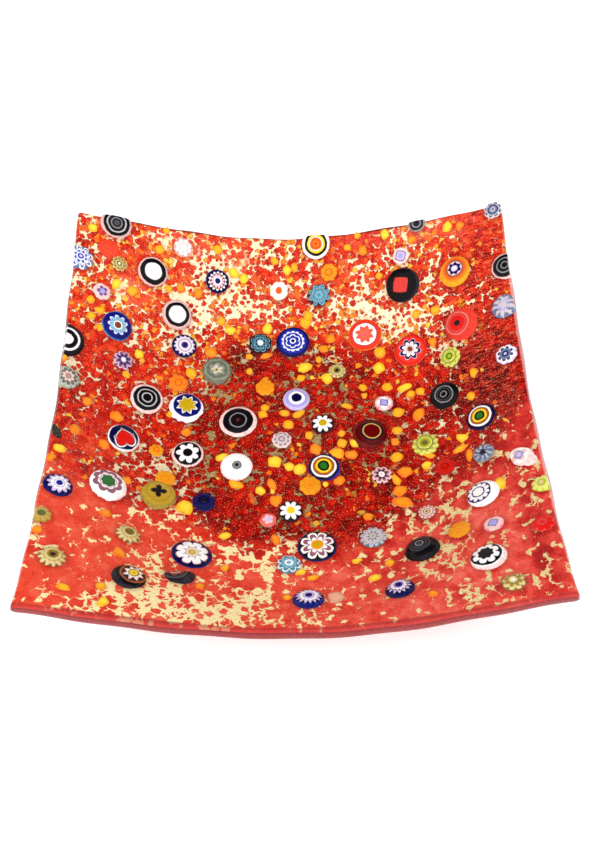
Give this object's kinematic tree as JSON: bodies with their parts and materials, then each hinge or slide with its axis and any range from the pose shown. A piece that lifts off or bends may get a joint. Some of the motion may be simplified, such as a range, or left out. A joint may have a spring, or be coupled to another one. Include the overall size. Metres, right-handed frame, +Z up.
{
  "type": "art glass bowl",
  "caption": "Shallow square bowl of fused glass: slices of patterned cane bedded in red glass frit over metal leaf, with raised corners and a flat middle to stand on.",
  "frame": {"origin": "middle of the flat underside that the bowl stands on", "axes": "+Z up out of the bowl, +Y towards the back edge, +X towards the right edge"},
  "size_m": [0.1916, 0.1916, 0.0495],
  "materials": {
    "red_base_glass": "deep red, glossy, faintly see-through",
    "metal_leaf": "crinkled metal leaf, satin",
    "red_frit_glass": "fused red and orange granules, glossy",
    "pink_casing_glass": "milky pink casing round black rings, glossy",
    "white_glass": "opaque white, glossy",
    "black_glass": "opaque black, glossy",
    "navy_glass": "opaque navy blue, glossy",
    "blue_glass": "opaque blue, glossy",
    "lavender_glass": "opaque lavender, glossy",
    "grey_glass": "smoky grey-blue, glossy",
    "teal_glass": "teal, glossy",
    "olive_glass": "olive gold, glossy",
    "lime_glass": "lime green, glossy",
    "orange_red_glass": "orange red, glossy",
    "ruby_glass": "dark ruby, glossy",
    "amber_glass": "warm amber, glossy"
  },
  "bodies": {
    "root": {"base_plate": "red_base_glass", "metal_leaf": "metal_leaf", "red_frit_layer": "red_frit_glass", "murrina_amber_star": "black_glass", "murrina_black_daisy": "pink_casing_glass", "murrina_black_gear": "white_glass", "murrina_black_hoop_1": "pink_casing_glass", "murrina_black_hoop_2": "pink_casing_glass", "murrina_blue_gear": "navy_glass", "murrina_blue_pinwheel": "blue_glass", "murrina_bold_rings": "black_glass", "murrina_broken_half": "black_glass", "murrina_daisy_1": "black_glass", "murrina_daisy_2": "black_glass", "murrina_frost_flower": "grey_glass", "murrina_gold_star": "white_glass", "murrina_green_flower": "white_glass", "murrina_grey_pinwheel_1": "grey_glass", "murrina_grey_pinwheel_2": "grey_glass", "murrina_grey_rings_1": "black_glass", "murrina_grey_rings_2": "pink_casing_glass", "murrina_grey_rings_3": "pink_casing_glass", "murrina_grey_rings_4": "black_glass", "murrina_grey_rings_5": "black_glass", "murrina_heart": "pink_casing_glass", "murrina_lavender_eye": "lavender_glass", "murrina_lavender_gear_1": "navy_glass", "murrina_lavender_gear_2": "navy_glass", "murrina_lime_gear_1": "lime_glass", "murrina_lime_gear_2": "lime_glass", "murrina_midnight_flower": "navy_glass", "murrina_navy_blossom_1": "navy_glass", "murrina_navy_blossom_2": "navy_glass", "murrina_navy_flower": "white_glass", "murrina_navy_star": "amber_glass", "murrina_olive_cross": "olive_glass", "murrina_olive_flower": "olive_glass", "murrina_olive_gear_1": "olive_glass", "murrina_olive_gear_2": "olive_glass", "murrina_pale_flower": "pink_casing_glass", "murrina_pink_gear_1": "navy_glass", "murrina_pink_gear_2": "navy_glass", "murrina_rainbow_rings_1": "navy_glass", "murrina_rainbow_rings_2": "navy_glass", "murrina_red_dome": "orange_red_glass", "murrina_red_flower": "orange_red_glass", "murrina_red_square": "black_glass", "murrina_red_star": "orange_red_glass", "murrina_royal_gear": "navy_glass", "murrina_ruby_ring": "ruby_glass", "murrina_sage_flower": "grey_glass", "murrina_smoke_dome": "grey_glass", "murrina_tall_dome": "black_glass", "murrina_teal_flower_1": "black_glass", "murrina_teal_flower_2": "teal_glass", "murrina_teal_flower_3": "teal_glass", "murrina_turquoise_gear": "blue_glass", "murrina_white_eye": "white_glass", "murrina_white_gear": "white_glass", "murrina_yellow_rings": "white_glass"}
  },
  "joints": []
}
